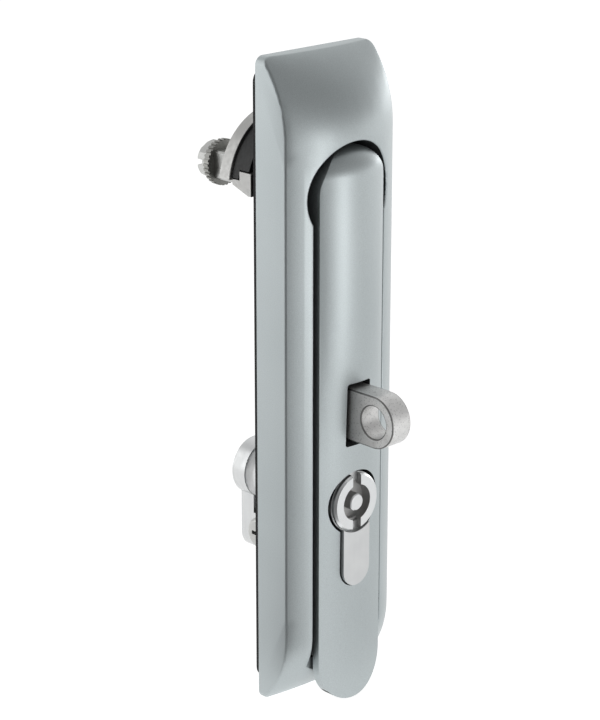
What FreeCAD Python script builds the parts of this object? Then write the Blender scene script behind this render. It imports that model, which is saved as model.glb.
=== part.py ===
"""Swing handle latch for a cabinet door: dish, swinging handle, drive spindle and lock insert.

Frame, in millimetres: +Z up along the dish, +Y into the door, X across.
The origin is on the spindle axis, in the plane of the door panel's outer face.
"""
import FreeCAD, Part
import math
import os

V = FreeCAD.Vector
X_DIR = V(1, 0, 0)
Y_DIR = V(0, 1, 0)
Z_DIR = V(0, 0, 1)

# Fits
running = 0.05
thread = 0.03
slip = 0.10
gap = 0.30

# Cutting shapes go this far past what they cut, and screw holes past their screw
beyond = 1.0
hole_spare = 0.5

# Door panel and gasket
panel_t = 1.5
gasket_t = 1.5
gasket_inset = 0.5
gasket_top_inset = 3.6
gasket_bottom_inset = 5.6
gasket_corner_r = 3.5

# Dish
dish_w = 40.0
dish_up = 37.1
dish_down = 145.4
dish_corner_r = 2.5
dish_edge_r = 1.0
land_per_edge_r = 11.0
side_depth = 11.1
crown_rise = 6.4
crown_rise_end = 1.9
top_curve_len = 21.7
top_curve_r = 31.5
bottom_curve_len = 21.5
bottom_curve_r = 28.0
floor_t = 2.0
recess_r = 14.5
side_gap = 1.2
channel_end_up = 14.1

# Handle
handle_half_w = 11.8
handle_edge_depth = 15.6
handle_top_rise = 4.2
handle_low_rise = 2.0
rise_from = 21.4
rise_to = 106.4
handle_tip_over = 0.1
lip_t = 2.3
lip_gap = 0.9
lip_len = 15.1
end_wall_t = 3.0
cheek_t = 3.0
cheek_back_gap = 2.5
front_wall_low = 2.2
front_wall_top = 5.1
thin_wall_below = 6.0

# Cross pin that the handle swings on
pin_r = 2.0
pin_up = 5.0
pin_inset = 2.2
dome_over_pin = 0.5
nose_r = 4.0

# Pivot block and hub
block_side_gap = 0.5
block_top_over_pin = 1.0
block_half_h = 6.0
hub_r = 8.5
flange_r = 8.7
flange_t = 2.0
hub_boss_wall = 2.4
oring_r = 0.75
circlip_t = 1.0
circlip_over = 1.5
circlip_bite = 0.8
circlip_mouth = 3.0

# Spindle at the back
stop_plate_t = 1.2
stop_plate_r = 15.5
plate_corner_r = 3.0
strap_half_w = 5.5
strap_margin = 0.4
ear_out = 19.0
ear_w = 3.2
ear_high = 5.2
ear_low = -1.0
ear_len = 3.3
ear_tail_high = 2.8
ear_tail_low = 1.2
bearing_r = 19.3
bearing_t = 6.2
bearing_flat_x = 10.3
journal_r = 6.2
spigot_r = 3.0
square_w = 8.0
square_corner = 1.3
stop_disc_r = 20.0
stop_disc_t = 4.0
stop_disc_core_r = 8.7
square_free_len = 19.5
stop_from_deg = 173.0
spindle_turn_deg = 90.0
tab_margin_deg = 5.0
tab_width_deg = 25.0
tab_in_r = 9.3
tab_out_r = 12.2
hub_screw_reach = 16.3
hub_screw_bite = 3.5
m4_r = 2.0
m4_head_r = 3.8
m4_head_t = 1.8
post_wall = 2.0
washer_r = 6.2
washer_tooth = 0.35
washer_tooth_w = 0.7
washer_teeth = 30
washer_t = 1.9
m6_r = 3.0
hex_across = 10.0
hex_t = 4.0
hex_slot_w = 1.6
hex_slot_d = 1.8
hex_flare = 1.6
hex_bevel = 0.6
m6_len = 14.0

# Padlock eye
eye_below = 60.0
eye_t = 6.9
eye_r = 7.3
eye_hole_r = 4.6
eye_reach = 34.9
window_half_w = 4.3
window_gap_top = 1.4
window_gap_bottom = 2.1
window_corner_r = 0.8
eye_screw_pitch = 8.0
eye_screw_bite = 8.0

# Profile lock insert
lock_below = 86.4
profile_r = 8.5
profile_web_w = 10.0
profile_h = 33.0
lock_front_depth = 18.4
lock_front_len = 26.3
cam_slot_len = 10.0
lock_rear_len = 5.1
rotor_flange_t = 1.5
flange_side_gap = 0.3
rotor_r = 6.0
rotor_neck_r = 3.5
flange_chamfer = 0.6
key_pin_chamfer = 0.3
groove_r = 5.1
key_pin_r = 2.45
groove_depth = 3.0
key_slot_w = 3.1
key_slot_depth = 2.0
cam_r = 8.4
cam_reach = 12.0
cam_half_w = 4.0
cam_side_gap = 0.2
opening_gap = 0.3
opening_r_gap = 0.8
fix_screw_below = 16.5
m5_r = 2.5
m5_head_r = 4.7
m5_head_t = 3.2
m5_head_round = 1.4
cross_r = 2.4
cross_w = 1.1
cross_depth = 1.6
lock_boss_half_w = 12.4
lock_boss_len = 6.2
lock_boss_up = 13.5
lock_boss_down = 27.5
lock_boss_corner_r = 4.0
lug_t = 3.25
lug_half_h = 5.0

# Hook of the handle, held by the cam
hook_t = 1.8
hook_stem_up = 6.5
hook_stem_h = 4.0
hook_barb_drop = 2.0
hook_barb_t = 2.5
hook_root = 7.5
hook_tail_h = 9.0
hook_neck = 1.5
hook_slot_drop = 7.8
rivet_r = 1.2
rivet_head_r = 2.1
rivet_head_t = 0.5
rivet_reach = 0.9
rivet_pitch = 4.5

# Lower clamp at the back
clamp_below = 122.6
clamp_half_w = 15.0
clamp_h = 14.0
clamp_t = 2.5
clamp_screw_len = 12.0
clamp_washer_r = 5.5
clamp_washer_t = 1.0
post_r = 4.4
post_len = 7.0
post_cap = 1.5

# Places worked out from the sizes above
back_y = -gasket_t
side_y = back_y - side_depth
apex_y = side_y - crown_rise
floor_y = back_y - floor_t
behind_y = dish_w / 2
half_w = dish_w / 2
channel_edge_r = (half_w - recess_r) / land_per_edge_r
channel_half_w = handle_half_w + side_gap
channel_bottom_z = channel_end_up - dish_down
handle_edge_y = back_y - handle_edge_depth
handle_apex_y = handle_edge_y - handle_top_rise
handle_tip_z = -dish_down - handle_tip_over
lip_back_y = handle_edge_y + lip_t
lip_seat_y = lip_back_y + lip_gap
cheek_back_y = floor_y - cheek_back_gap
inner_half_w = handle_half_w - cheek_t
pin_y = cheek_back_y - 0.5 * (cheek_back_y - handle_apex_y)
dome_r = pin_y - handle_apex_y
pin_half_len = handle_half_w - pin_inset
dome_z = pin_up + dome_over_pin
head_centre_z = dome_z + dome_r - handle_half_w
plate_y = panel_t
bearing_y = plate_y + stop_plate_t
ear_y = bearing_y + ear_len
strap_reach = hub_screw_reach + m4_head_r + strap_margin
disc_y = bearing_y + bearing_t + slip
square_y = disc_y + stop_disc_t
tab_from_deg = stop_from_deg + spindle_turn_deg + tab_margin_deg
stop_to_deg = tab_from_deg + tab_width_deg + tab_margin_deg
washer_y = square_y + square_free_len
head_y = washer_y + washer_t
lock_z = -lock_below
lock_front_y = back_y - lock_front_depth
flange_seat_y = lock_front_y + rotor_flange_t
cam_y = lock_front_y + lock_front_len
cam_end_y = cam_y + cam_slot_len
lock_rear_y = cam_end_y + lock_rear_len
web_centre_drop = profile_h - profile_r - profile_web_w / 2
fix_screw_y = cam_y + cam_slot_len / 2
fix_screw_z = lock_z - fix_screw_below
boss_rear_y = back_y + panel_t + lock_boss_len
hub_boss_r = hub_r + hub_boss_wall
oring_y = 0.5 * (floor_y + back_y)
oring_centre_r = hub_r + slip - running - oring_r
circlip_y = running
clamp_z = -clamp_below
eye_z = -eye_below
eye_y = back_y - eye_reach + eye_r
hook_x = inner_half_w
hook_low_z = lock_z + hook_stem_up
hook_top_z = hook_low_z + hook_stem_h
hook_mid_z = 0.5 * (hook_low_z + hook_top_z)
rivet_y = cheek_back_y - hook_root / 2
hook_rear_y = cam_end_y + gap + hook_barb_t


def box(x0, x1, y0, y1, z0, z1):
    return Part.makeBox(x1 - x0, y1 - y0, z1 - z0, V(x0, y0, z0))


def rod_y(r, y0, y1, x=0.0, z=0.0):
    return Part.makeCylinder(r, y1 - y0, V(x, y0, z), Y_DIR)


def rod_x(r, x0, x1, y, z):
    return Part.makeCylinder(r, x1 - x0, V(x0, y, z), X_DIR)


def cone_y(r0, r1, y0, y1, x=0.0, z=0.0):
    return Part.makeCone(r0, r1, y1 - y0, V(x, y0, z), Y_DIR)


def rounded_plate(x0, x1, z0, z1, r, y0, y1):
    """Plate in the XZ plane with rounded corners, from y0 to y1."""
    plate = box(x0, x1, y0, y1, z0, z1)
    upright = [e for e in plate.Edges if abs(e.BoundBox.YLength - (y1 - y0)) < 1e-6]
    return plate.makeFillet(r, upright)


def profile_prism(points, x0, x1):
    """Prism along X over straight sides through (y, z) points."""
    corners = [V(x0, y, z) for y, z in points]
    face = Part.Face(Part.makePolygon(corners + corners[:1]))
    return face.extrude(V(x1 - x0, 0, 0))


def polar(r, deg, y):
    return V(r * math.cos(math.radians(deg)), y, r * math.sin(math.radians(deg)))


def sector(r, from_deg, to_deg, y0, y1):
    """Pie slice around the spindle axis, less than half a turn."""
    mid = 0.5 * (from_deg + to_deg)
    rim = Part.Arc(polar(r, from_deg, y0), polar(r, mid, y0), polar(r, to_deg, y0)).toShape()
    centre = V(0, y0, 0)
    first = Part.makeLine(centre, polar(r, from_deg, y0))
    last = Part.makeLine(polar(r, to_deg, y0), centre)
    return Part.Face(Part.Wire([first, rim, last])).extrude(V(0, y1 - y0, 0))


def crown_section(z, edge_y, rise, at_half_w, over, rear_y):
    """Closed section at height z: flat at rear_y, arched over the front, over wider each side."""
    radius = (at_half_w ** 2 + rise ** 2) / (2 * rise)
    reach = at_half_w + over
    side = edge_y - rise + radius - math.sqrt(radius ** 2 - reach ** 2)
    left = V(-reach, side, z)
    right = V(reach, side, z)
    arch = Part.Arc(left, V(0, edge_y - rise, z), right).toShape()
    rear_right = V(reach, rear_y, z)
    rear_left = V(-reach, rear_y, z)
    return Part.Wire([
        arch,
        Part.makeLine(right, rear_right),
        Part.makeLine(rear_right, rear_left),
        Part.makeLine(rear_left, left),
    ])


# Dish


def end_section(z, start_z, length, radius, side):
    """Dish section in a curved end; side is +1 at the top and -1 at the bottom."""
    along = max(0.0, side * (z - start_z))
    back_off = radius - math.sqrt(radius ** 2 - along ** 2)
    rise = crown_rise - (crown_rise - crown_rise_end) * (along / length) ** 2
    return crown_section(z, side_y + back_off, rise, half_w, beyond, behind_y)


def dish_front():
    """Solid behind the dish's crowned front, straight in the middle and curved back at both ends."""
    lead = 6.0
    steps = 8
    top_start = dish_up - top_curve_len
    bottom_start = bottom_curve_len - dish_down
    middle_wire = crown_section(bottom_start + lead, side_y, crown_rise, half_w, beyond, behind_y)
    front = Part.Face(middle_wire).extrude(V(0, 0, top_start - bottom_start - 2 * lead))
    ends = (
        (top_start, top_curve_len, top_curve_r, 1),
        (bottom_start, bottom_curve_len, bottom_curve_r, -1),
    )
    for start_z, length, radius, side in ends:
        places = [start_z - side * lead, start_z - side * lead / 2]
        places += [start_z + side * (length + beyond) * i / steps for i in range(steps + 1)]
        wires = [end_section(z, start_z, length, radius, side) for z in places]
        front = front.fuse(Part.makeLoft(wires, True))
    return front


def lock_profile(clear, y0, y1):
    """Profile of the lock insert: a round barrel with a web below that ends in a half round."""
    r = profile_r + clear
    web = profile_web_w / 2 + clear
    web_z = lock_z - web_centre_drop
    shape = rod_y(r, y0, y1, 0, lock_z)
    shape = shape.fuse(box(-web, web, y0, y1, web_z, lock_z))
    shape = shape.fuse(rod_y(web, y0, y1, 0, web_z))
    return shape.removeSplitter()


def hook_slot():
    """Slot that the handle's hook swings through, longer below as the barb drops on its way out."""
    x0 = hook_x - gap
    x1 = hook_x + hook_t + gap
    return box(x0, x1, floor_y, boss_rear_y, lock_z - hook_slot_drop, hook_top_z + gap)


def lock_boss():
    """Boss behind the dish that guides the insert, with the lug that its screw bites in."""
    top = lock_z + lock_boss_up
    bottom = lock_z - lock_boss_down
    boss = rounded_plate(-lock_boss_half_w, lock_boss_half_w, bottom, top, lock_boss_corner_r,
                         back_y, boss_rear_y)
    web = profile_web_w / 2 + slip
    lug = box(web, web + lug_t, boss_rear_y, fix_screw_y + lug_half_h,
              fix_screw_z - lug_half_h, fix_screw_z + lug_half_h)
    return boss.fuse(lug)


def screw_post(z, r, length):
    """Post that stands on the channel floor and holds a screw from behind."""
    return rod_y(r, floor_y - length, floor_y, 0, z)


def crown_side_edges(body):
    """Edges where the dish's crowned front meets its flat sides."""
    found = []
    for edge in body.Edges:
        at = edge.BoundBox
        if at.XLength < 1e-3 and at.YMax < back_y - beyond and abs(abs(at.XMin) - half_w) < 1e-3:
            found.append(edge)
    return found


def channel_rim_edges(body):
    """Edges where the recess and the channel open in the dish's front, down to its curved end."""
    found = []
    for edge in body.Edges:
        if edge.BoundBox.YMax > side_y or edge.BoundBox.ZMin < bottom_curve_len - dish_down:
            continue
        middle = edge.valueAt(0.5 * (edge.FirstParameter + edge.LastParameter))
        in_recess = abs(math.hypot(middle.x, middle.z) - recess_r) < 1e-3
        if in_recess or abs(abs(middle.x) - channel_half_w) < 1e-3:
            found.append(edge)
    return found


def make_dish():
    outline = rounded_plate(-half_w, half_w, -dish_down, dish_up, dish_corner_r, apex_y - beyond, back_y)
    body = outline.common(dish_front())
    body = body.makeFillet(dish_edge_r, crown_side_edges(body))
    reach = apex_y - beyond
    recess = rod_y(recess_r, reach, floor_y)
    channel = box(-channel_half_w, channel_half_w, reach, floor_y, channel_bottom_z, 0)
    lip_seat = box(-channel_half_w, channel_half_w, reach, lip_seat_y, -dish_down - beyond, channel_bottom_z)
    body = body.cut(recess.fuse(channel).fuse(lip_seat).removeSplitter())
    body = body.makeFillet(channel_edge_r, channel_rim_edges(body))
    body = body.fuse(rod_y(hub_boss_r, back_y, 0))
    body = body.fuse(lock_boss())
    body = body.fuse(screw_post(clamp_z, post_r, post_len))
    body = body.fuse(screw_post(-hub_screw_reach, m4_r + post_wall, hub_screw_bite + post_wall))
    body = body.fuse(rod_y(post_r, back_y, panel_t - slip, 0, clamp_z))
    for hole in dish_holes():
        body = body.cut(hole)
    return body.removeSplitter()


def dish_holes():
    holes = [
        rod_y(hub_r + slip, floor_y, 0),
        lock_profile(slip, floor_y, boss_rear_y),
        hook_slot(),
        rod_x(m5_r + thread, 0, half_w, fix_screw_y, fix_screw_z),
        rod_y(m5_r + thread, floor_y - post_len + post_cap, panel_t, 0, clamp_z),
    ]
    for side in (-1, 1):
        z = side * hub_screw_reach
        holes.append(rod_y(m4_r + thread, floor_y - hub_screw_bite - hole_spare, panel_t, 0, z))
        z = eye_z + side * eye_screw_pitch / 2
        holes.append(rod_y(m4_r + slip, floor_y, back_y, 0, z))
        holes.append(cone_y(m4_r + slip, m4_head_r + slip, back_y - m4_head_t, back_y, 0, z))
    return holes


def make_gasket():
    x = half_w - gasket_inset
    top = dish_up - gasket_top_inset
    bottom = gasket_bottom_inset - dish_down
    sheet = rounded_plate(-x, x, bottom, top, gasket_corner_r, back_y, 0)
    sheet = sheet.cut(rod_y(hub_boss_r + gap, back_y, 0))
    boss_x = lock_boss_half_w + gap
    sheet = sheet.cut(box(-boss_x, boss_x, back_y, 0,
                          lock_z - lock_boss_down - gap, lock_z + lock_boss_up + gap))
    sheet = sheet.cut(rod_y(post_r + gap, back_y, 0, 0, clamp_z))
    for side in (-1, 1):
        sheet = sheet.cut(rod_y(m4_r + gap, back_y, 0, 0, side * hub_screw_reach))
    return sheet


# Handle and what it swings on


def handle_rise(z):
    """How far the handle's crown stands over its edges at height z."""
    t = min(1.0, max(0.0, (z + rise_to) / (rise_to - rise_from)))
    return handle_low_rise + (handle_top_rise - handle_low_rise) * t * t * (3 - 2 * t)


def handle_front():
    """Solid behind the handle's crowned front, with a dome over the cross pin."""
    steps = 16
    low = handle_tip_z - beyond
    wires = []
    for i in range(steps + 1):
        z = low + (-rise_from - low) * i / steps
        wires.append(crown_section(z, handle_edge_y, handle_rise(z), handle_half_w, beyond / 2, pin_y))
    lower = Part.makeLoft(wires, True)
    level = crown_section(-rise_from, handle_edge_y, handle_top_rise, handle_half_w, beyond / 2, pin_y)
    upper = Part.Face(level).extrude(V(0, 0, dome_z + rise_from))
    dome_face = Part.Face(crown_section(dome_z, handle_edge_y, handle_top_rise, handle_half_w, beyond / 2, pin_y))
    dome = dome_face.revolve(V(0, pin_y, dome_z), V(-1, 0, 0), 180)
    side_x = handle_half_w + beyond / 2
    rear = box(-side_x, side_x, pin_y, cheek_back_y, low, dome_z)
    return lower.fuse(upper).fuse(dome).fuse(rear)


def handle_outline():
    """Outline of the handle seen from the front: straight sides and two half round ends."""
    r = handle_half_w
    y0 = handle_apex_y - beyond
    y1 = cheek_back_y + beyond
    low_z = handle_tip_z + r
    shape = box(-r, r, y0, y1, low_z, head_centre_z)
    shape = shape.fuse(rod_y(r, y0, y1, 0, low_z))
    return shape.fuse(rod_y(r, y0, y1, 0, head_centre_z)).removeSplitter()


def handle_hollow():
    """Space inside the handle, open towards the dish."""
    end_z = handle_tip_z + lip_len + end_wall_t
    split_z = eye_z - eye_r - window_gap_bottom - thin_wall_below
    x = inner_half_w
    y1 = cheek_back_y + beyond
    low = box(-x, x, handle_edge_y + front_wall_low, y1, end_z, split_z)
    top = box(-x, x, handle_apex_y + front_wall_top, y1, split_z, pin_up)
    nose = rod_x(nose_r + gap, -x, x, pin_y, pin_up)
    neck = box(-x, x, pin_y, y1, pin_up, dome_z + dome_r + beyond)
    return low.fuse(top).fuse(nose).fuse(neck)


def handle_openings():
    """Window for the padlock eye and keyhole shaped opening for the lock insert."""
    y0 = handle_apex_y - beyond
    y1 = cheek_back_y
    window = rounded_plate(-window_half_w, window_half_w, eye_z - eye_r - window_gap_bottom,
                           eye_z + eye_r + window_gap_top, window_corner_r, y0, y1)
    web = profile_web_w / 2 + opening_gap
    web_z = lock_z - web_centre_drop
    opening = rod_y(profile_r + opening_r_gap, y0, y1, 0, lock_z)
    opening = opening.fuse(box(-web, web, y0, y1, web_z, lock_z))
    opening = opening.fuse(rod_y(web, y0, y1, 0, web_z))
    return window.fuse(opening)


def make_handle():
    body = handle_outline().common(handle_front())
    body = body.cut(handle_hollow())
    lip_top = handle_tip_z + lip_len
    x = handle_half_w + beyond
    body = body.cut(box(-x, x, lip_back_y, cheek_back_y + beyond, handle_tip_z - beyond, lip_top))
    body = body.cut(handle_openings())
    body = body.cut(rod_x(pin_r + thread, -pin_half_len, pin_half_len, pin_y, pin_up))
    body = body.cut(hook_plate())
    for z in rivet_places():
        body = body.cut(rivet_hole(z))
    return body.removeSplitter()


def make_cross_pin():
    return rod_x(pin_r, -pin_half_len, pin_half_len, pin_y, pin_up)


def rivet_places():
    return (hook_mid_z - rivet_pitch / 2, hook_mid_z + rivet_pitch / 2)


def rivet_hole(z):
    return rod_x(rivet_r + thread, hook_x, hook_x + hook_t + rivet_reach, rivet_y, z)


def hook_plate():
    """Flat hook in the YZ plane: a root in the handle's cheek, a stem, and a barb that drops behind the cam."""
    root_y = cheek_back_y - hook_root
    neck_y = cheek_back_y + hook_neck
    barb_y = hook_rear_y - hook_barb_t
    points = (
        (root_y, hook_mid_z - hook_tail_h / 2),
        (cheek_back_y, hook_mid_z - hook_tail_h / 2),
        (neck_y, hook_low_z),
        (barb_y, hook_low_z),
        (barb_y, lock_z - hook_barb_drop),
        (hook_rear_y, lock_z - hook_barb_drop),
        (hook_rear_y, hook_top_z),
        (neck_y, hook_top_z),
        (cheek_back_y, hook_mid_z + hook_tail_h / 2),
        (root_y, hook_mid_z + hook_tail_h / 2),
    )
    return profile_prism(points, hook_x, hook_x + hook_t)


def make_hook():
    plate = hook_plate()
    for z in rivet_places():
        plate = plate.cut(rivet_hole(z))
    return plate


def make_rivets():
    rivets = []
    for z in rivet_places():
        shank = rod_x(rivet_r, hook_x, hook_x + hook_t + rivet_reach, rivet_y, z)
        head = rod_x(rivet_head_r, hook_x - rivet_head_t, hook_x, rivet_y, z)
        rivets.append(shank.fuse(head).removeSplitter())
    return Part.makeCompound(rivets)


def make_pivot_block():
    """Block that stands in the handle's head, carries the cross pin and goes through the dish."""
    x = inner_half_w - block_side_gap
    nose = rod_x(nose_r, -x, x, pin_y, pin_up)
    tower = box(-x, x, pin_y, floor_y, -block_half_h, pin_up + block_top_over_pin)
    flange = rod_y(flange_r, floor_y - flange_t, floor_y)
    boss = rod_y(hub_r, floor_y, panel_t - slip)
    block = nose.fuse(tower).fuse(flange).fuse(boss)
    block = block.cut(rod_x(pin_r + running, -x, x, pin_y, pin_up))
    block = block.cut(rod_y(spigot_r + running, floor_y, panel_t))
    half = oring_r + running
    groove = rod_y(hub_r + beyond, oring_y - half, oring_y + half)
    groove = groove.cut(rod_y(oring_centre_r - half, oring_y - half, oring_y + half))
    block = block.cut(groove)
    return block.cut(circlip_groove()).removeSplitter()


def circlip_groove():
    y1 = circlip_y + circlip_t
    ring = rod_y(hub_r + beyond, circlip_y, y1)
    return ring.cut(rod_y(hub_r - circlip_bite, circlip_y, y1))


def make_oring():
    return Part.makeTorus(oring_centre_r, oring_r, V(0, oring_y, 0), Y_DIR)


def make_circlip():
    """Open ring in the hub's groove, behind the dish."""
    y0 = circlip_y + running
    y1 = circlip_y + circlip_t - running
    ring = rod_y(hub_r + circlip_over, y0, y1)
    ring = ring.cut(rod_y(hub_r - circlip_bite + running, y0, y1))
    half = circlip_mouth / 2
    return ring.cut(box(-half, half, y0, y1, -hub_r - circlip_over, 0))


# Back of the door


def hub_screw_holes(r, y0, y1):
    return [rod_y(r, y0, y1, 0, side * hub_screw_reach) for side in (-1, 1)]


def tab(clear, y0, y1):
    """Curved finger of the stop plate that stands between the two edges of the stop disc."""
    swell = math.degrees(clear / tab_in_r)
    finger = sector(tab_out_r + clear, tab_from_deg - swell, tab_from_deg + tab_width_deg + swell, y0, y1)
    return finger.cut(rod_y(tab_in_r - clear, y0, y1))


def ear():
    """Bent ear of the stop plate, high beside the panel and lower where it ends at the disc."""
    end_y = disc_y - 2 * slip
    points = (
        (bearing_y, ear_high),
        (ear_y, ear_high),
        (ear_y, ear_tail_high),
        (end_y, ear_tail_high),
        (end_y, ear_tail_low),
        (bearing_y, ear_low),
    )
    return profile_prism(points, -ear_out, ear_w - ear_out)


def make_stop_plate():
    """Steel plate behind the panel: a strap for the screws, an ear beside the bearing and the stop's finger."""
    plate = rod_y(stop_plate_r, plate_y, bearing_y)
    plate = plate.fuse(rounded_plate(-strap_half_w, strap_half_w, -strap_reach, strap_reach, plate_corner_r,
                                    plate_y, bearing_y))
    plate = plate.fuse(box(-ear_out, 0, plate_y, bearing_y, ear_low, ear_high))
    plate = plate.fuse(ear())
    plate = plate.fuse(tab(0, bearing_y, square_y - slip))
    plate = plate.cut(rod_y(journal_r + gap, plate_y, bearing_y))
    for hole in hub_screw_holes(m4_r + slip, plate_y, bearing_y):
        plate = plate.cut(hole)
    return plate.removeSplitter()


def make_bearing():
    """Plastic bearing for the spindle, flat beside the ear and cut away round the stop's finger."""
    y1 = bearing_y + bearing_t
    ring = rod_y(bearing_r, bearing_y, y1)
    ring = ring.cut(box(-bearing_r, -bearing_flat_x, bearing_y, ear_y + gap, -bearing_r, ear_high + gap))
    ring = ring.cut(box(-bearing_r, -bearing_flat_x, ear_y, y1, -bearing_r, ear_tail_high + gap))
    ring = ring.cut(tab(gap, bearing_y, y1))
    ring = ring.cut(rod_y(journal_r + running, bearing_y, y1))
    for hole in hub_screw_holes(m4_r + slip, bearing_y, y1):
        ring = ring.cut(hole)
    for side in (-1, 1):
        ring = ring.cut(cone_y(m4_r, m4_head_r + slip, y1 - m4_head_t - slip, y1, 0, side * hub_screw_reach))
    return ring.removeSplitter()


def make_hub_screws():
    """Two countersunk screws that draw the bearing, the plate and the panel to the dish."""
    screws = []
    y1 = bearing_y + bearing_t - slip
    for side in (-1, 1):
        z = side * hub_screw_reach
        screw = rod_y(m4_r, floor_y - hub_screw_bite, y1, 0, z)
        screw = screw.fuse(cone_y(m4_r, m4_head_r, y1 - m4_head_t, y1, 0, z))
        screws.append(cross_recess_y(screw, y1, z).removeSplitter())
    return Part.makeCompound(screws)


def cross_recess_y(shape, y_face, z, into=-1):
    """Cross recess in a screw head whose face looks along Y."""
    y0, y1 = sorted((y_face + into * cross_depth, y_face - into * beyond))
    w = cross_w / 2
    shape = shape.cut(box(-w, w, y0, y1, z - cross_r, z + cross_r))
    return shape.cut(box(-cross_r, cross_r, y0, y1, z - w, z + w))


def make_stop_disc():
    """Disc on the square that meets the finger at both ends of a quarter turn."""
    disc = rod_y(stop_disc_r, disc_y, square_y)
    cut = sector(stop_disc_r + beyond, stop_from_deg, stop_to_deg, disc_y, square_y)
    disc = disc.cut(cut.cut(rod_y(stop_disc_core_r, disc_y, square_y)))
    h = square_w / 2 + running
    return disc.cut(box(-h, h, disc_y, square_y, -h, h))


def make_spindle():
    """Spindle: spigot in the pivot block, journal in the bearing, then a square for the cam."""
    journal_y = plate_y + slip
    square_from_y = disc_y - running
    spigot = rod_y(spigot_r, floor_y + gap, journal_y)
    journal = rod_y(journal_r, journal_y, square_from_y)
    h = square_w / 2
    square = box(-h, h, square_from_y, washer_y, -h, h)
    square = square.common(rod_y(h + square_corner, square_from_y, washer_y))
    spindle = spigot.fuse(journal).fuse(square)
    return spindle.cut(rod_y(m6_r + thread, washer_y - m6_len - hole_spare, washer_y)).removeSplitter()


def make_tooth_washer():
    """Serrated lock washer with teeth all round."""
    ring = rod_y(washer_r, washer_y, head_y)
    step = 360.0 / washer_teeth
    half = washer_tooth_w / 2
    for i in range(washer_teeth):
        tooth = box(washer_r / 2, washer_r + washer_tooth, washer_y, head_y, -half, half)
        tooth.rotate(V(0, 0, 0), Y_DIR, i * step)
        ring = ring.fuse(tooth)
    return ring.cut(rod_y(m6_r + slip, washer_y, head_y))


def make_spindle_screw():
    """Slotted hexagon screw in the end of the spindle."""
    corner = hex_across / math.sqrt(3)
    points = [polar(corner, 60 * i + 30, head_y) for i in range(7)]
    head = Part.Face(Part.makePolygon(points)).extrude(V(0, hex_t, 0))
    head = head.common(cone_y(corner + hex_flare, corner - hex_bevel, head_y, head_y + hex_t))
    slot = box(-corner, corner, head_y + hex_t - hex_slot_d, head_y + hex_t,
               -hex_slot_w / 2, hex_slot_w / 2)
    shank = rod_y(m6_r, washer_y - m6_len, head_y)
    return head.cut(slot).fuse(shank).removeSplitter()


def make_clamp():
    """Lower clamp plate behind the panel."""
    plate = rounded_plate(-clamp_half_w, clamp_half_w, clamp_z - clamp_h / 2, clamp_z + clamp_h / 2,
                          plate_corner_r, panel_t, panel_t + clamp_t)
    return plate.cut(rod_y(m5_r + slip, panel_t, panel_t + clamp_t, 0, clamp_z))


def make_clamp_washer():
    y0 = panel_t + clamp_t
    washer = rod_y(clamp_washer_r, y0, y0 + clamp_washer_t, 0, clamp_z)
    return washer.cut(rod_y(m5_r + slip, y0, y0 + clamp_washer_t, 0, clamp_z))


def make_clamp_screw():
    y0 = panel_t + clamp_t + clamp_washer_t
    shank = rod_y(m5_r, y0 - clamp_screw_len, y0, 0, clamp_z)
    head = rod_y(m5_head_r, y0, y0 + m5_head_t, 0, clamp_z)
    rim = [e for e in head.Edges if e.BoundBox.YMin > y0 + m5_head_t - 1e-6]
    head = head.makeFillet(m5_head_round, rim)
    return cross_recess_y(shank.fuse(head), y0 + m5_head_t, clamp_z).removeSplitter()


# Padlock eye


def make_eye():
    """Lug that stands on the dish floor and comes out through the handle's window."""
    half_t = eye_t / 2
    plate = box(-half_t, half_t, eye_y, floor_y, eye_z - eye_r, eye_z + eye_r)
    plate = plate.fuse(rod_x(eye_r, -half_t, half_t, eye_y, eye_z))
    plate = plate.cut(rod_x(eye_hole_r, -half_t, half_t, eye_y, eye_z))
    for z in eye_screw_places():
        plate = plate.cut(rod_y(m4_r + thread, floor_y - eye_screw_bite - hole_spare, floor_y, 0, z))
    return plate.removeSplitter()


def eye_screw_places():
    return (eye_z - eye_screw_pitch / 2, eye_z + eye_screw_pitch / 2)


def make_eye_screws():
    screws = []
    face = back_y - slip
    for z in eye_screw_places():
        screw = rod_y(m4_r, floor_y - eye_screw_bite, face, 0, z)
        screw = screw.fuse(cone_y(m4_r, m4_head_r, face - m4_head_t, face, 0, z))
        screws.append(screw.removeSplitter())
    return Part.makeCompound(screws)


# Lock insert


def make_lock_body():
    body = lock_profile(0, lock_front_y, lock_rear_y)
    body = body.cut(rod_y(profile_r + slip, lock_front_y, flange_seat_y + running, 0, lock_z))
    reach = profile_r + beyond
    slot_low = lock_z - cam_reach - gap
    body = body.cut(box(-reach, reach, cam_y, cam_end_y, slot_low, lock_z + reach))
    body = body.cut(rod_y(rotor_r + running, lock_front_y, cam_y, 0, lock_z))
    body = body.cut(rod_y(rotor_neck_r + running, cam_y, lock_rear_y, 0, lock_z))
    return body.cut(rod_x(m5_r + thread, -reach, reach, fix_screw_y, fix_screw_z)).removeSplitter()


def make_rotor():
    """Plug of the lock: a flange level with the web, the plug, and a neck that turns the cam."""
    front = lock_front_y
    flange = rod_y(profile_r + slip - flange_side_gap, front, flange_seat_y, 0, lock_z)
    rim = [e for e in flange.Edges if e.BoundBox.YMax < front + 1e-6]
    flange = flange.makeChamfer(flange_chamfer, rim)
    plug = rod_y(rotor_r, flange_seat_y, cam_y - cam_side_gap, 0, lock_z)
    neck = rod_y(rotor_neck_r, cam_y - cam_side_gap, lock_rear_y, 0, lock_z)
    rotor = flange.fuse(plug).fuse(neck)
    rotor = rotor.cut(rod_y(groove_r, front, front + groove_depth, 0, lock_z))
    half_slot = key_slot_w / 2
    slot = box(-half_slot, half_slot, front, front + key_slot_depth, lock_z - profile_r, lock_z + profile_r)
    return rotor.cut(slot).removeSplitter()


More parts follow.
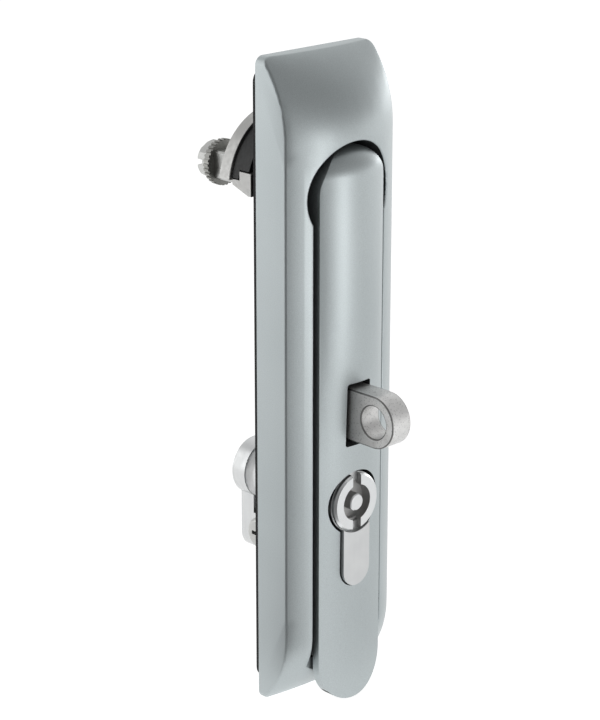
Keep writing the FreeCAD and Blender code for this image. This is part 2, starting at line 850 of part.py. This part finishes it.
def make_key_pin():
    pin = rod_y(key_pin_r, lock_front_y, lock_front_y + groove_depth, 0, lock_z)
    rim = [e for e in pin.Edges if e.BoundBox.YMax < lock_front_y + 1e-6]
    return pin.makeChamfer(key_pin_chamfer, rim)


def make_cam():
    """Cam of the lock, pointing down into the web while the handle is free."""
    y0 = cam_y + cam_side_gap
    y1 = cam_end_y - cam_side_gap
    barrel = rod_y(cam_r, y0, y1, 0, lock_z)
    lever = box(-cam_half_w, cam_half_w, y0, y1, lock_z - cam_reach, lock_z)
    lever = lever.common(rod_y(cam_reach, y0, y1, 0, lock_z))
    cam = barrel.fuse(lever)
    return cam.cut(rod_y(rotor_neck_r + thread, y0, y1, 0, lock_z)).removeSplitter()


def make_fix_screw():
    """Pan head screw through the insert's web into the lug."""
    head_x = -profile_web_w / 2
    shank = rod_x(m5_r, head_x, profile_web_w / 2 + slip + lug_t, fix_screw_y, fix_screw_z)
    head = rod_x(m5_head_r, head_x - m5_head_t, head_x, fix_screw_y, fix_screw_z)
    rim = [e for e in head.Edges if e.BoundBox.XMax < head_x - m5_head_t + 1e-6]
    screw = shank.fuse(head.makeFillet(m5_head_round, rim))
    x0 = head_x - m5_head_t
    x1 = head_x - m5_head_t + cross_depth
    w = cross_w / 2
    y, z = fix_screw_y, fix_screw_z
    screw = screw.cut(box(x0, x1, y - w, y + w, z - cross_r, z + cross_r))
    screw = screw.cut(box(x0, x1, y - cross_r, y + cross_r, z - w, z + w))
    return screw.removeSplitter()


PIECES = {
    "dish": make_dish,
    "gasket": make_gasket,
    "pivot_block": make_pivot_block,
    "pivot_oring": make_oring,
    "pivot_circlip": make_circlip,
    "handle": make_handle,
    "cross_pin": make_cross_pin,
    "handle_hook": make_hook,
    "hook_rivets": make_rivets,
    "padlock_eye": make_eye,
    "eye_screws": make_eye_screws,
    "lock_body": make_lock_body,
    "lock_rotor": make_rotor,
    "key_pin": make_key_pin,
    "lock_cam": make_cam,
    "lock_screw": make_fix_screw,
    "stop_plate": make_stop_plate,
    "spindle_bearing": make_bearing,
    "hub_screws": make_hub_screws,
    "drive_spindle": make_spindle,
    "stop_disc": make_stop_disc,
    "tooth_washer": make_tooth_washer,
    "spindle_screw": make_spindle_screw,
    "lower_clamp": make_clamp,
    "clamp_washer": make_clamp_washer,
    "clamp_screw": make_clamp_screw,
}

os.makedirs("parts", exist_ok=True)
for name, make in PIECES.items():
    shape = make()
    solids = len(shape.Solids)
    print(f"{name:16s} solids {solids} volume {shape.Volume:10.1f} valid {shape.isValid()}")
    shape.exportStep(os.path.join("parts", name + ".step"))
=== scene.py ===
"""Looks of the swing handle latch: finishes, softened edges, studio, camera."""

import math

import bpy
from mathutils import Matrix, Vector


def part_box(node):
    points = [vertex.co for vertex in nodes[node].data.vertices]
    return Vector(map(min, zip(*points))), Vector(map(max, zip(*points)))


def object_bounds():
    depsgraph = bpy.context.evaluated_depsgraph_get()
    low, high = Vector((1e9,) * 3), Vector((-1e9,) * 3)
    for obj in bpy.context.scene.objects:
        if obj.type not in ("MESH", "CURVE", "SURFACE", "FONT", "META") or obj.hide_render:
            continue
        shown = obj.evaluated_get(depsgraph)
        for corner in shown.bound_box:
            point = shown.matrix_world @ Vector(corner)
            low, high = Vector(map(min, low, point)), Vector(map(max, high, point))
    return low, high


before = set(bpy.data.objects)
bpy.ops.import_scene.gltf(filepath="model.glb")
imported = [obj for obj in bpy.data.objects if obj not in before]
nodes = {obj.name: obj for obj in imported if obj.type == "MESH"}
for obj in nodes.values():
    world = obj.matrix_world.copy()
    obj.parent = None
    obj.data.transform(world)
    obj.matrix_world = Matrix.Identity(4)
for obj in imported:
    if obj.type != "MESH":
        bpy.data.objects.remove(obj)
cad_low, cad_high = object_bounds()

MM = 0.001

# Photograph
PHOTO_HEIGHT_PX = 720
FOCAL_PX = 2294.1
CAMERA_AT = Vector((-416.4, -429.2, 149.3)) * MM
CAMERA_AZIMUTH = math.radians(-43.96)
CAMERA_ELEVATION = math.radians(18.44)
SENSOR_MM = 24.0
CLIP_START = 0.01

# Studio as its metal sees it: white, with screens at two sides and a dimmer room above the floor.
# Azimuth 0 is in front of the latch, 90 to its left.
UPWARD = (0.0, 0.0, 1.0)
BACKDROP = (math.sin(-CAMERA_AZIMUTH), math.cos(CAMERA_AZIMUTH), 0.0)
BACKDROP_FROM, BACKDROP_TO = 0.0, 0.8
DIM_ABOVE = 0.42
DIM_FROM, DIM_TO = -0.1, 0.25
# Each screen: azimuth, cosine where it starts, cosine where it is full, level it leaves
SCREENS = ((68.0, 0.6, 0.87, 0.0), (-42.0, 0.5, 0.95, 0.82))
NEAR_ON_FLOOR = 0.055
NEAR_IN_ROOM = 0.3
PLAIN_LEVEL = 0.2
FLOOR_GLOW = 0.95
FLOOR_TONE = 0.5
FLOOR_DROP = 0.2 * MM
FLOOR_HALF = 6.0
# Each lamp: azimuth, elevation, distance, width, height, watts, point it aims at (None for the middle)
LAMPS = {
    "key_strip": (-4.0, 0.0, 0.26, 0.04, 0.13, 0.085, Vector((0.0, -0.02, -0.07))),
    "right_box": (-62.0, 0.0, 1.1, 0.7, 0.2, 0.3, None),
    "right_back_box": (-98.0, 6.0, 1.1, 0.4, 0.25, 0.9, None),
    "left_back_box": (134.0, 20.0, 1.1, 0.7, 1.1, 2.6, None),
}

# Finishes


def shader(name):
    """New node material; returns it with its node tree and its principled shader."""
    mat = bpy.data.materials.new(name)
    mat.use_nodes = True
    tree = mat.node_tree
    return mat, tree, tree.nodes["Principled BSDF"]


def node(tree, kind, **values):
    """New node with its inputs and properties set by name."""
    made = tree.nodes.new(kind)
    for key, value in values.items():
        if key in made.inputs:
            made.inputs[key].default_value = value
        else:
            setattr(made, key, value)
    return made


def place(tree, scale=(1, 1, 1)):
    """Object coordinates in metres, stretched by scale."""
    coords = node(tree, "ShaderNodeTexCoord")
    mapping = node(tree, "ShaderNodeMapping")
    mapping.inputs["Scale"].default_value = scale
    tree.links.new(coords.outputs["Object"], mapping.inputs["Vector"])
    return mapping.outputs["Vector"]


def noise(tree, where, scale, detail=3.0, roughness=0.5):
    """Noise texture's value."""
    made = node(tree, "ShaderNodeTexNoise", Scale=scale, Detail=detail, Roughness=roughness)
    tree.links.new(where, made.inputs["Vector"])
    return made.outputs["Fac"]


def spread(tree, value, low, high, from_low=0.3, from_high=0.7):
    """Maps a texture value to a range."""
    made = node(tree, "ShaderNodeMapRange")
    made.inputs["From Min"].default_value = from_low
    made.inputs["From Max"].default_value = from_high
    made.inputs["To Min"].default_value = low
    made.inputs["To Max"].default_value = high
    tree.links.new(value, made.inputs["Value"])
    return made.outputs["Result"]


def blend_colour(tree, value, first, second):
    """Colour between two, picked by a value from 0 to 1."""
    made = node(tree, "ShaderNodeMix", data_type="RGBA")
    made.inputs[6].default_value = (*first, 1.0)
    made.inputs[7].default_value = (*second, 1.0)
    tree.links.new(value, made.inputs[0])
    return made.outputs[2]


def bump(tree, height, distance, strength=1.0, under=None):
    """Normal raised by a texture, over another normal where one is given."""
    made = node(tree, "ShaderNodeBump", Distance=distance, Strength=strength)
    tree.links.new(height, made.inputs["Height"])
    if under is not None:
        tree.links.new(under, made.inputs["Normal"])
    return made.outputs["Normal"]


def lacquer():
    """Satin silver-grey lacquer on die-cast zinc: soft orange peel and a fine metal grain."""
    mat, tree, surface = shader("lacquer")
    here = place(tree)
    cloud = noise(tree, here, 28.0, 2.0)
    grain = noise(tree, here, 5200.0, 1.0)
    peel = noise(tree, here, 520.0, 2.0)
    tone = blend_colour(tree, spread(tree, cloud, 0.0, 1.0), (0.53, 0.58, 0.59), (0.57, 0.62, 0.63))
    speck = node(tree, "ShaderNodeMix", data_type="RGBA", blend_type="MULTIPLY")
    speck.inputs[0].default_value = 0.35
    tree.links.new(tone, speck.inputs[6])
    tree.links.new(spread(tree, grain, 0.72, 1.22), speck.inputs[7])
    tree.links.new(speck.outputs[2], surface.inputs["Base Color"])
    tree.links.new(spread(tree, grain, 0.42, 0.5), surface.inputs["Roughness"])
    normal = bump(tree, peel, 0.02 * MM, 0.5)
    tree.links.new(bump(tree, grain, 0.004 * MM, 0.4, normal), surface.inputs["Normal"])
    surface.inputs["Metallic"].default_value = 0.8
    surface.inputs["Coat Weight"].default_value = 0.1
    surface.inputs["Coat Roughness"].default_value = 0.3
    return mat


def painted_shade_material():
    """Painted shade: near-black colour inside the channel, the handle's hollow and its window, standing in
    for the shade that falls there.
    """
    mat, tree, surface = shader("painted_shade_in_hollows")
    here = place(tree)
    cloud = noise(tree, here, 60.0, 3.0)
    grain = noise(tree, here, 2200.0, 2.0)
    tone = blend_colour(tree, spread(tree, cloud, 0.0, 1.0), (0.022, 0.024, 0.025), (0.034, 0.037, 0.038))
    tree.links.new(tone, surface.inputs["Base Color"])
    tree.links.new(spread(tree, grain, 0.55, 0.75), surface.inputs["Roughness"])
    tree.links.new(bump(tree, grain, 0.01 * MM, 0.5), surface.inputs["Normal"])
    return mat


def plated(name, first, second, rough, stretch=(1, 1, 1)):
    """Plated steel: clouded tint and fine drawn lines along one way."""
    mat, tree, surface = shader(name)
    cloud = noise(tree, place(tree), 160.0, 3.0)
    lines = noise(tree, place(tree, stretch), 900.0, 3.0)
    tone = blend_colour(tree, spread(tree, cloud, 0.0, 1.0), first, second)
    tree.links.new(tone, surface.inputs["Base Color"])
    mixed = node(tree, "ShaderNodeMath", operation="ADD")
    tree.links.new(spread(tree, cloud, -0.05, 0.05), mixed.inputs[0])
    tree.links.new(spread(tree, lines, rough - 0.06, rough + 0.08), mixed.inputs[1])
    tree.links.new(mixed.outputs[0], surface.inputs["Roughness"])
    tree.links.new(bump(tree, lines, 0.01 * MM, 0.5), surface.inputs["Normal"])
    surface.inputs["Metallic"].default_value = 1.0
    return mat


def turned(name, colour, rough, x, z):
    """Nickel plate over a face turned about a line along Y, with its fine rings."""
    mat, tree, surface = shader(name)
    coords = node(tree, "ShaderNodeTexCoord")
    shift = node(tree, "ShaderNodeVectorMath", operation="SUBTRACT")
    shift.inputs[1].default_value = (x, 0.0, z)
    flat = node(tree, "ShaderNodeVectorMath", operation="MULTIPLY")
    flat.inputs[1].default_value = (1.0, 0.0, 1.0)
    reach = node(tree, "ShaderNodeVectorMath", operation="LENGTH")
    tree.links.new(coords.outputs["Object"], shift.inputs[0])
    tree.links.new(shift.outputs[0], flat.inputs[0])
    tree.links.new(flat.outputs[0], reach.inputs[0])
    rings = node(tree, "ShaderNodeTexNoise", noise_dimensions="1D", Scale=2600.0, Detail=2.0)
    tree.links.new(reach.outputs["Value"], rings.inputs["W"])
    cloud = noise(tree, place(tree), 220.0, 3.0)
    lighter = tuple(min(1.0, c * 1.06) for c in colour)
    tone = blend_colour(tree, spread(tree, cloud, 0.0, 1.0), colour, lighter)
    tree.links.new(tone, surface.inputs["Base Color"])
    tree.links.new(spread(tree, cloud, rough - 0.04, rough + 0.07), surface.inputs["Roughness"])
    tree.links.new(bump(tree, rings.outputs["Fac"], 0.012 * MM, 0.6), surface.inputs["Normal"])
    surface.inputs["Metallic"].default_value = 1.0
    return mat


def sintered():
    """Sintered steel of the padlock eye: dull, light grey, with open grain and darker pores."""
    mat, tree, surface = shader("sintered")
    here = place(tree)
    cloud = noise(tree, here, 260.0, 4.0)
    grain = noise(tree, here, 2400.0, 4.0, 0.65)
    pores = node(tree, "ShaderNodeTexVoronoi", Scale=1500.0)
    tree.links.new(here, pores.inputs["Vector"])
    tone = blend_colour(tree, spread(tree, cloud, 0.0, 1.0), (0.7, 0.698, 0.69), (0.84, 0.838, 0.83))
    speck = node(tree, "ShaderNodeMix", data_type="RGBA", blend_type="MULTIPLY")
    speck.inputs[0].default_value = 0.6
    tree.links.new(tone, speck.inputs[6])
    tree.links.new(spread(tree, pores.outputs["Distance"], 0.55, 1.1, 0.05, 0.4), speck.inputs[7])
    tree.links.new(speck.outputs[2], surface.inputs["Base Color"])
    tree.links.new(spread(tree, grain, 0.4, 0.58), surface.inputs["Roughness"])
    tree.links.new(bump(tree, grain, 0.03 * MM, 0.7), surface.inputs["Normal"])
    surface.inputs["Metallic"].default_value = 0.9
    return mat


def moulded(name, first, second, rough, grain_scale, grain_depth):
    """Dark moulded rubber or plastic with a fine spark grain."""
    mat, tree, surface = shader(name)
    here = place(tree)
    cloud = noise(tree, here, 90.0, 3.0)
    grain = noise(tree, here, grain_scale, 3.0, 0.6)
    tone = blend_colour(tree, spread(tree, cloud, 0.0, 1.0), first, second)
    tree.links.new(tone, surface.inputs["Base Color"])
    tree.links.new(spread(tree, grain, rough - 0.08, rough + 0.08), surface.inputs["Roughness"])
    tree.links.new(bump(tree, grain, grain_depth, 0.7), surface.inputs["Normal"])
    return mat


plug_low, plug_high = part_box("key_pin")
PLUG_Z = 0.5 * (plug_low.z + plug_high.z)
ALONG_Y = (1.0, 0.06, 1.0)
ALONG_X = (0.06, 1.0, 1.0)
ALONG_Z = (1.0, 1.0, 0.06)

paint = lacquer()
inside_shade = painted_shade_material()
zinc = plated("zinc_plate", (0.46, 0.465, 0.455), (0.55, 0.555, 0.54), 0.34, ALONG_Y)
zinc_sheet = plated("zinc_sheet", (0.42, 0.42, 0.41), (0.5, 0.5, 0.49), 0.42, ALONG_X)
washer_steel = plated("washer_steel", (0.26, 0.26, 0.25), (0.36, 0.36, 0.34), 0.42, ALONG_Y)
nickel = turned("nickel_turned", (0.74, 0.755, 0.76), 0.3, 0.0, PLUG_Z)
# Painted shade: a darker steel tone in the key pocket and on the key pin's round side, where shade falls;
# the rougher grain is the steel's own
pocket = plated("pocket_painted_shade", (0.42, 0.42, 0.415), (0.5, 0.5, 0.495), 0.5, ALONG_Y)
nickel_body = plated("nickel_body", (0.62, 0.63, 0.635), (0.68, 0.69, 0.69), 0.36, ALONG_Z)
eye_steel = sintered()
# Painted dark reflection: a dark edge line on the padlock eye's bevel, standing in for the dark front that
# the bevel mirrors
eye_edge_shade = plated("painted_edge_shade", (0.24, 0.24, 0.235), (0.34, 0.34, 0.335), 0.42, ALONG_Y)
rubber = moulded("rubber", (0.012, 0.012, 0.014), (0.022, 0.022, 0.024), 0.72, 2600.0, 0.03 * MM)
plastic = moulded("black_plastic", (0.01, 0.011, 0.012), (0.018, 0.019, 0.02), 0.5, 1800.0, 0.015 * MM)

FINISHES = {
    paint: ("dish", "handle", "pivot_block"),
    zinc: ("drive_spindle", "spindle_screw", "cross_pin", "pivot_circlip", "hook_rivets", "eye_screws",
           "hub_screws", "clamp_screw", "lock_screw"),
    zinc_sheet: ("stop_disc", "stop_plate", "handle_hook", "lower_clamp", "clamp_washer"),
    washer_steel: ("tooth_washer",),
    nickel: ("lock_rotor", "key_pin"),
    nickel_body: ("lock_body", "lock_cam"),
    eye_steel: ("padlock_eye",),
    rubber: ("gasket", "pivot_oring"),
    plastic: ("spindle_bearing",),
}

# Softened edges: radius in millimetres that casting, moulding or tumbling leaves on each piece
EDGES = {
    "dish": 0.3, "handle": 0.6, "padlock_eye": 0.35, "lock_body": 0.15, "lock_rotor": 0.12, "key_pin": 0.1,
    "drive_spindle": 0.2, "stop_disc": 0.2, "stop_plate": 0.15, "spindle_bearing": 0.3,
    "spindle_screw": 0.15, "tooth_washer": 0.04, "lower_clamp": 0.2, "gasket": 0.15, "handle_hook": 0.15,
    "lock_screw": 0.1, "clamp_screw": 0.1,
}
SHARP = math.radians(30)
FLAT = math.radians(1)
JOIN = 0.001 * MM
# Pieces whose softened edges carry a dark colour of their own: a painted dark reflection along the bevel
PAINTED_DARK_EDGES = {"padlock_eye": eye_edge_shade}


def finish_node(name, mat):
    """Gives a piece its finish, smooth shading and softened edges."""
    piece = nodes[name]
    mesh = piece.data
    mesh.materials.clear()
    mesh.materials.append(mat)
    if "custom_normal" in mesh.attributes:
        mesh.attributes.remove(mesh.attributes["custom_normal"])
    mesh.polygons.foreach_set("use_smooth", [True] * len(mesh.polygons))
    mesh.set_sharp_from_angle(angle=SHARP)
    weld = piece.modifiers.new("weld", "WELD")
    weld.merge_threshold = JOIN
    if name in PAINTED_DARK_EDGES:
        flat = piece.modifiers.new("flat", "DECIMATE")
        flat.decimate_type = "DISSOLVE"
        flat.angle_limit = FLAT
    if name in EDGES:
        bevel = piece.modifiers.new("edges", "BEVEL")
        bevel.width = EDGES[name] * MM
        bevel.segments = 3
        bevel.limit_method = "ANGLE"
        bevel.angle_limit = SHARP
        bevel.harden_normals = True
        bevel.use_clamp_overlap = name not in PAINTED_DARK_EDGES
        bevel.miter_outer = "MITER_ARC"
        # Painted dark reflection on the bevel's faces
        if name in PAINTED_DARK_EDGES:
            mesh.materials.append(PAINTED_DARK_EDGES[name])
            bevel.material = 1


for mat, names in FINISHES.items():
    for name in names:
        finish_node(name, mat)

# Faces that carry painted shade, another colour than the rest of their piece
HAIR = 0.05 * MM


def paint_shade_faces(name, mat, chosen):
    """Gives mat to the faces that chosen(centre, normal) picks."""
    mesh = nodes[name].data
    mesh.materials.append(mat)
    for face in mesh.polygons:
        if chosen(face.center, face.normal):
            face.material_index = 1


HANDLE_HALF_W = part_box("handle")[1].x
pin_low, pin_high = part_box("cross_pin")
PIN_Y = 0.5 * (pin_low.y + pin_high.y)
PIN_Z = 0.5 * (pin_low.z + pin_high.z)
CHEEK = 3.0 * MM
PIN_EYE_R = 1.5 * CHEEK
FLOOR_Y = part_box("padlock_eye")[1].y
RECESS_R = 14.5 * MM
CROWN_OVER_FLOOR = 8.0 * MM
CROWN_FRONT_Y = FLOOR_Y - CROWN_OVER_FLOOR
SIDE_GAP = 1.2 * MM
CHANNEL_HALF_W = HANDLE_HALF_W + SIDE_GAP
LIP_LEN = 18.1 * MM
CHANNEL_LOW_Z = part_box("dish")[0].z + LIP_LEN
PLUG_FRONT_Y = plug_low.y
POCKET_R = 5.2 * MM
SLOT_HALF_W = 1.6 * MM
# How far a face's normal points one way: nearly all, and half
SQUARE_ON = 0.9
HALF_ON = 0.5


def in_channel(centre, normal):
    """Walls and floor of the dish's recess and channel."""
    if centre.y > FLOOR_Y + HAIR or normal.y < -SQUARE_ON and centre.y < CROWN_FRONT_Y:
        return False
    in_round = math.hypot(centre.x, centre.z) < RECESS_R + HAIR
    in_straight = abs(centre.x) < CHANNEL_HALF_W + HAIR and CHANNEL_LOW_Z - HAIR < centre.z < 0.0
    on_side = abs(abs(centre.x) - CHANNEL_HALF_W) < HAIR and abs(normal.x) > SQUARE_ON
    return in_round or in_straight or on_side and centre.z < 0.0


def in_hollow(centre, normal):
    """Inside of the handle and of its two openings."""
    if abs(centre.x) > HANDLE_HALF_W - CHEEK + HAIR or normal.y < -HALF_ON:
        return False
    if centre.z < PIN_Z:
        return True
    return math.hypot(centre.y - PIN_Y, centre.z - PIN_Z) < PIN_EYE_R


def in_pocket(centre, normal):
    """Key pocket round the pin, with its two slots."""
    if centre.y < PLUG_FRONT_Y + HAIR:
        return False
    reach = math.hypot(centre.x, centre.z - PLUG_Z)
    near = centre.y < plug_high.y + HAIR
    return near and (reach < POCKET_R or abs(centre.x) < SLOT_HALF_W)


def on_barrel(centre, normal):
    """Round side of the key pin."""
    return abs(normal.y) < HALF_ON


# Painted shade: near-black on the walls and floor of the dish's recess and channel, and inside the handle's
# hollow and window
paint_shade_faces("dish", inside_shade, in_channel)
paint_shade_faces("handle", inside_shade, in_hollow)
# Painted shade on the key pocket and on the key pin's round side
paint_shade_faces("lock_rotor", pocket, in_pocket)
paint_shade_faces("key_pin", pocket, on_barrel)

# Studio


def along(tree, direction, way):
    """How far a direction points one way, 1 to -1."""
    made = node(tree, "ShaderNodeVectorMath", operation="DOT_PRODUCT")
    made.inputs[1].default_value = way
    tree.links.new(direction, made.inputs[0])
    return made.outputs["Value"]


def room_level(tree, direction, near):
    """How bright the room is in a direction: dark at the screens, dim above except at the backdrop.

    Where the direction's flat part is shorter than near, the screens fade out."""
    flat = node(tree, "ShaderNodeVectorMath", operation="MULTIPLY")
    flat.inputs[1].default_value = (1.0, 1.0, 0.0)
    tree.links.new(direction, flat.inputs[0])
    reach = node(tree, "ShaderNodeVectorMath", operation="LENGTH")
    tree.links.new(flat.outputs[0], reach.inputs[0])
    at_least = node(tree, "ShaderNodeMath", operation="MAXIMUM")
    at_least.inputs[1].default_value = near
    tree.links.new(reach.outputs["Value"], at_least.inputs[0])
    above = spread(tree, along(tree, direction, BACKDROP), DIM_ABOVE, 1.0, BACKDROP_FROM, BACKDROP_TO)
    mix = node(tree, "ShaderNodeMix", data_type="FLOAT")
    mix.inputs[2].default_value = 1.0
    risen = spread(tree, along(tree, direction, UPWARD), 0.0, 1.0, DIM_FROM, DIM_TO)
    tree.links.new(risen, mix.inputs[0])
    tree.links.new(above, mix.inputs[3])
    level = mix.outputs[0]
    for azimuth, start, full, shade in SCREENS:
        a = math.radians(azimuth)
        facing = node(tree, "ShaderNodeMath", operation="DIVIDE")
        tree.links.new(along(tree, flat.outputs[0], (-math.sin(a), -math.cos(a), 0.0)), facing.inputs[0])
        tree.links.new(at_least.outputs[0], facing.inputs[1])
        dimmed = node(tree, "ShaderNodeMath", operation="MULTIPLY")
        tree.links.new(level, dimmed.inputs[0])
        tree.links.new(spread(tree, facing.outputs[0], 1.0, shade, start, full), dimmed.inputs[1])
        level = dimmed.outputs[0]
    return level


def glow(tree, direction, near):
    """1 where the camera looks, straight or through something clear; the room's level in reflections."""
    path = tree.nodes.new("ShaderNodeLightPath")
    straight = node(tree, "ShaderNodeMath", operation="ADD", use_clamp=True)
    tree.links.new(path.outputs["Is Camera Ray"], straight.inputs[0])
    tree.links.new(path.outputs["Is Transmission Ray"], straight.inputs[1])
    mirrored = node(tree, "ShaderNodeMath", operation="MULTIPLY")
    tree.links.new(path.outputs["Is Glossy Ray"], mirrored.inputs[0])
    tree.links.new(room_level(tree, direction, near), mirrored.inputs[1])
    total = node(tree, "ShaderNodeMath", operation="ADD")
    tree.links.new(straight.outputs[0], total.inputs[0])
    tree.links.new(mirrored.outputs[0], total.inputs[1])
    return total.outputs[0]


def floor_material():
    """Pale floor: it glows as the room does and takes the object's shadow."""
    mat = bpy.data.materials.new("studio_floor")
    mat.use_nodes = True
    tree = mat.node_tree
    tree.nodes.clear()
    out = tree.nodes.new("ShaderNodeOutputMaterial")
    dull = tree.nodes.new("ShaderNodeBsdfDiffuse")
    dull.inputs["Color"].default_value = (FLOOR_TONE, FLOOR_TONE, FLOOR_TONE, 1.0)
    light = tree.nodes.new("ShaderNodeEmission")
    coords = node(tree, "ShaderNodeTexCoord")
    level = node(tree, "ShaderNodeMath", operation="MULTIPLY")
    level.inputs[1].default_value = FLOOR_GLOW
    tree.links.new(glow(tree, coords.outputs["Object"], NEAR_ON_FLOOR), level.inputs[0])
    tree.links.new(level.outputs[0], light.inputs["Strength"])
    both = tree.nodes.new("ShaderNodeAddShader")
    tree.links.new(dull.outputs[0], both.inputs[0])
    tree.links.new(light.outputs[0], both.inputs[1])
    tree.links.new(both.outputs[0], out.inputs["Surface"])
    return mat


def make_floor(z, half):
    """Square floor under the latch."""
    mesh = bpy.data.meshes.new("floor")
    corners = [(-half, -half, z), (half, -half, z), (half, half, z), (-half, half, z)]
    mesh.from_pydata(corners, [], [(0, 1, 2, 3)])
    floor = bpy.data.objects.new("floor", mesh)
    bpy.context.collection.objects.link(floor)
    mesh.materials.append(floor_material())


def soft_box(name, azimuth, elevation, distance, width, height, power, aim):
    """Area lamp at a direction from aim: azimuth 0 is in front, 90 is to the left."""
    a, e = math.radians(azimuth), math.radians(elevation)
    away = Vector((-math.sin(a) * math.cos(e), -math.cos(a) * math.cos(e), math.sin(e)))
    data = bpy.data.lights.new(name, "AREA")
    data.shape = "RECTANGLE"
    data.size = width
    data.size_y = height
    data.energy = power
    lamp = bpy.data.objects.new(name, data)
    lamp.visible_camera = False
    lamp.location = aim + away * distance
    lamp.rotation_euler = away.to_track_quat("Z", "Y").to_euler()
    bpy.context.collection.objects.link(lamp)


def make_world(level):
    """Room round the object, with a plain low level for what isn't seen or mirrored."""
    world = bpy.data.worlds.new("studio")
    bpy.context.scene.world = world
    world.use_nodes = True
    tree = world.node_tree
    sky = tree.nodes["Background"]
    coords = node(tree, "ShaderNodeTexCoord")
    plain = node(tree, "ShaderNodeMath", operation="MAXIMUM")
    plain.inputs[1].default_value = level
    tree.links.new(glow(tree, coords.outputs["Generated"], NEAR_IN_ROOM), plain.inputs[0])
    tree.links.new(plain.outputs[0], sky.inputs["Strength"])
    sky.inputs["Color"].default_value = (1.0, 1.0, 1.0, 1.0)


def make_camera():
    """Camera that took the photograph."""
    a, e = CAMERA_AZIMUTH, CAMERA_ELEVATION
    back = Vector((math.sin(a) * math.cos(e), -math.cos(a) * math.cos(e), math.sin(e)))
    right = Vector((math.cos(a), math.sin(a), 0.0))
    up = back.cross(right)
    data = bpy.data.cameras.new("camera")
    data.sensor_fit = "VERTICAL"
    data.sensor_height = SENSOR_MM
    data.lens = FOCAL_PX / PHOTO_HEIGHT_PX * SENSOR_MM
    data.clip_start = CLIP_START
    camera = bpy.data.objects.new("camera", data)
    turn = Matrix((right, up, back)).transposed()
    camera.matrix_world = Matrix.Translation(CAMERA_AT) @ turn.to_4x4()
    bpy.context.collection.objects.link(camera)
    bpy.context.scene.camera = camera


centre = 0.5 * (cad_low + cad_high)
make_floor(cad_low.z - FLOOR_DROP, FLOOR_HALF)
for name, (azimuth, elevation, distance, width, height, power, aim) in LAMPS.items():
    soft_box(name, azimuth, elevation, distance, width, height, power, centre if aim is None else aim)
make_world(PLAIN_LEVEL)
make_camera()
bpy.context.scene.view_settings.view_transform = "Standard"
